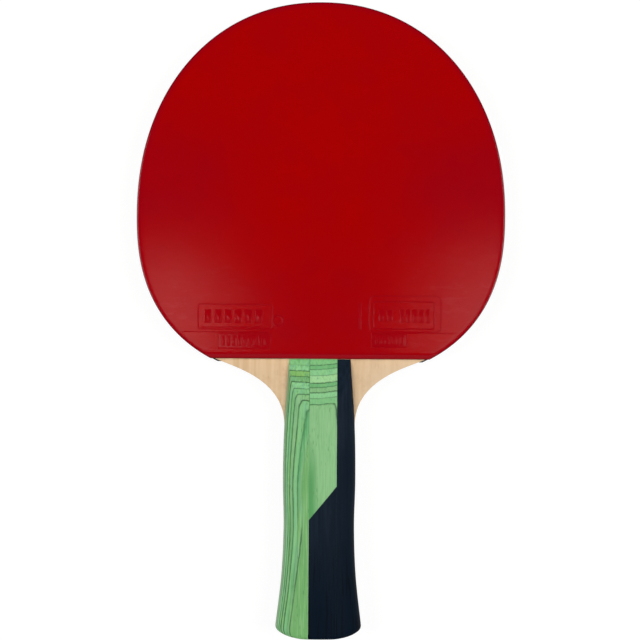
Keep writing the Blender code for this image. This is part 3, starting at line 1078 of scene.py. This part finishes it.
def makeScales():
    tree = loftTree()
    greenLane = veneerFinish("greenLaneFinish", **scale["greenLane"])
    greenBlock = veneerFinish("greenBlockFinish", **scale["greenBlock"])
    darkBlock = darkFinish("darkBlockFinish", 2.0)
    darkLane = darkFinish("darkLaneFinish", 9.0)
    sideNodes = [f"side_veneer_{i}" for i in range(1, 11)]
    blockNodes = [f"middle_veneer_{i}" for i in range(1, 11)]
    for face, turned, extra in (("front", 1, 0.0), ("back", -1, head["backExtra"])):
        loft = withTree(bpy.data.meshes.new("empty"), tree, **{
            "Start": handle["lipStart"] + extra, "Length": handle["length"],
            "Lip": handle["lipThickness"], "Slope": handle["slope"], "Crease": handle["crease"],
            "Butt depth": handle["buttDepth"], "Butt flat start": buttFlatStart,
            "Butt power": 1 / handle["buttFullness"], "Butt edge": handle["buttEdge"],
            "Butt square": float(scale["buttSquare"]), "Rings": scale["rings"],
            "Around": scale["around"], "Finish": darkLane,
        })
        body = bmesh.new()
        body.from_mesh(loft)
        bmesh.ops.recalc_face_normals(body, faces=body.faces)
        saw(body, (0, 0, scale["glue"]), (0, 0, -1))
        left, right = -handle["leftSeam"], handle["rightSeam"]
        high, low = Vector((right, -handle["scarfHigh"], 0)), Vector((left, -handle["scarfLow"], 0))
        along = (high - low).normalized()
        upward = Vector((-along.y, along.x, 0))
        thin = scale["glue"] / 2
        between = (((left + thin, 0, 0), (-1, 0, 0)), ((right - thin, 0, 0), (1, 0, 0)))
        lanes = (
            ("GreenLane", [((left - thin, 0, 0), (1, 0, 0))], greenLane, sideNodes),
            ("GreenBlock", [*between, (high + thin * upward, -upward)], greenBlock, blockNodes),
            ("DarkBlock", [*between, (high - thin * upward, upward)], darkBlock, ["dark_block"]),
            ("DarkLane", [((right + thin, 0, 0), (-1, 0, 0))], darkLane, ["dark_strip"]),
        )
        for name, cuts, finish, solids in lanes:
            slot = "green_wood" if name.startswith("Green") else "dark_wood"
            nodes = [f"{face}_{solid}" for solid in solids]
            lane = sawn(body, *cuts)
            for vert in lane.verts:
                x, y, z = vert.co
                vert.co = (x * turned, y + edgeLine, middle + turned * (bladeHalf + z))
            makePiece(face + name, meshOf(lane, name, scale["smoothAngle"]), finish, slot, *nodes)
        body.free()
        print(face, "scale made")


makeScales()


# Studio

studio = {
    "floorSize": 10.0,
    "wallHeight": 8.0,  # the floor bends up at its four edges into pale walls
    "wallLean": 0.65,  # how far out their tops stand, in floor sizes
    "floorGap": 0.03 * mm,
    "paint": (0.86, 0.86, 0.86, 1),
    "white": 1.06,
    "whiteShare": 0.86,  # how much of the floor is plain white to the camera; the rest takes the shadow
    "distance": 1.1,
    "span": 0.26045,  # width of the picture at the red face
    "sensor": 36,
    "roll": 0.4,
    "shift": (-0.0001, 0.0001),
    "world": 0.06,
    "lamps": (  # name, place, aim, width, depth, radiance, shape
        ("leftSide", (-1.1, 0, 1.6), (0, 0, 0), 0.7, 1.2, 8.4, "RECTANGLE"),
        ("rightSide", (1.1, 0, 1.6), (0, 0, 0), 0.7, 1.2, 8.4, "RECTANGLE"),
        # over the camera, where their blurred reflections lie on the lower corners of the rubber
        ("leftRound", (-0.162, -0.035, 1.5), (-0.162, -0.035, 0), 0.13, 0.19, 3.6, "ELLIPSE"),
        ("rightRound", (0.183, -0.03, 1.5), (0.183, -0.03, 0), 0.14, 0.19, 3.6, "ELLIPSE"),
    ),
}


def makeFloor():
    # the bat rests on the handle's swell and on the far edge of the head, so the floor leans a little
    farEdge = Vector((0, cadBox[1].y, middle - faceHeight))
    lean = 0
    first, last, tries = 0.03, handle["length"] - handle["buttDepth"], 100
    for i in range(tries):
        down = first + (last - first) * i / (tries - 1)
        low = middle - bladeHalf - throughStations(down, 2)
        lean = max(lean, (farEdge.z - low) / (farEdge.y - (edgeLine - down)))
    corners = []
    size = studio["floorSize"]
    for reach, rise in ((size / 2, 0), (size * studio["wallLean"], studio["wallHeight"])):
        for x, y in ((-reach, -reach), (reach, -reach), (reach, reach), (-reach, reach)):
            level = farEdge.z - lean * (farEdge.y - y) - studio["floorGap"]
            corners.append((x, y, level + rise))
    walls = [(i, 4 + i, 4 + (i + 1) % 4, (i + 1) % 4) for i in range(4)]
    mesh = bpy.data.meshes.new("floor")
    mesh.from_pydata(corners, [], [(0, 1, 2, 3), *walls])
    floor = newObject("floor", mesh)

    # plain white to the camera and to reflections, painted to every other ray
    material, shader, board = newMaterial("floorPaint", 0.0)
    shader.inputs["Base Color"].default_value = studio["paint"]
    shader.inputs["Roughness"].default_value = 0.9
    rays = board.add("ShaderNodeLightPath", {}, [], "Is Camera Ray")
    seen = rays.atLeast(rays.sibling("Is Glossy Ray")).atLeast(rays.sibling("Is Transmission Ray"))
    white = board.add("ShaderNodeEmission", {}, {"Color": (1, 1, 1), "Strength": studio["white"]})
    paint = Wire(board, shader.outputs[0])
    mixed = board.add("ShaderNodeMixShader", {}, [seen * studio["whiteShare"], paint, white])
    board.link(mixed, material.node_tree.nodes["Material Output"].inputs["Surface"])
    mesh.materials.append(material)
    print("floor made")


def softbox(name, place, aim, width, depth, radiance, shape):
    lamp = bpy.data.lights.new(name, "AREA")
    lamp.shape = shape
    lamp.size, lamp.size_y = width, depth
    area = width * depth * (math.pi / 4 if shape == "ELLIPSE" else 1)
    lamp.energy = radiance * math.pi * area
    box = newObject(name, lamp)
    box.location = place
    box.rotation_euler = (Vector(place) - Vector(aim)).to_track_quat("Z", "Y").to_euler()


def makeLight():
    world = bpy.data.worlds.new("studio")
    bpy.context.scene.world = world
    world.use_nodes = True
    backdrop = world.node_tree.nodes["Background"]
    backdrop.inputs["Color"].default_value = (1, 1, 1, 1)
    backdrop.inputs["Strength"].default_value = studio["world"]
    for lamp in studio["lamps"]:
        softbox(*lamp)
    print("light made")


def makeCamera():
    lens = bpy.data.cameras.new("camera")
    camera = newObject("camera", lens)
    lens.sensor_width = studio["sensor"]
    lens.lens = studio["sensor"] * studio["distance"] / studio["span"]
    camera.location = (*studio["shift"], middle + faceHeight + studio["distance"])
    camera.rotation_euler = (0, 0, math.radians(studio["roll"]))
    bpy.context.scene.camera = camera
    print("camera placed")


makeFloor()
makeLight()
makeCamera()
bpy.context.scene.view_settings.view_transform = "Standard"
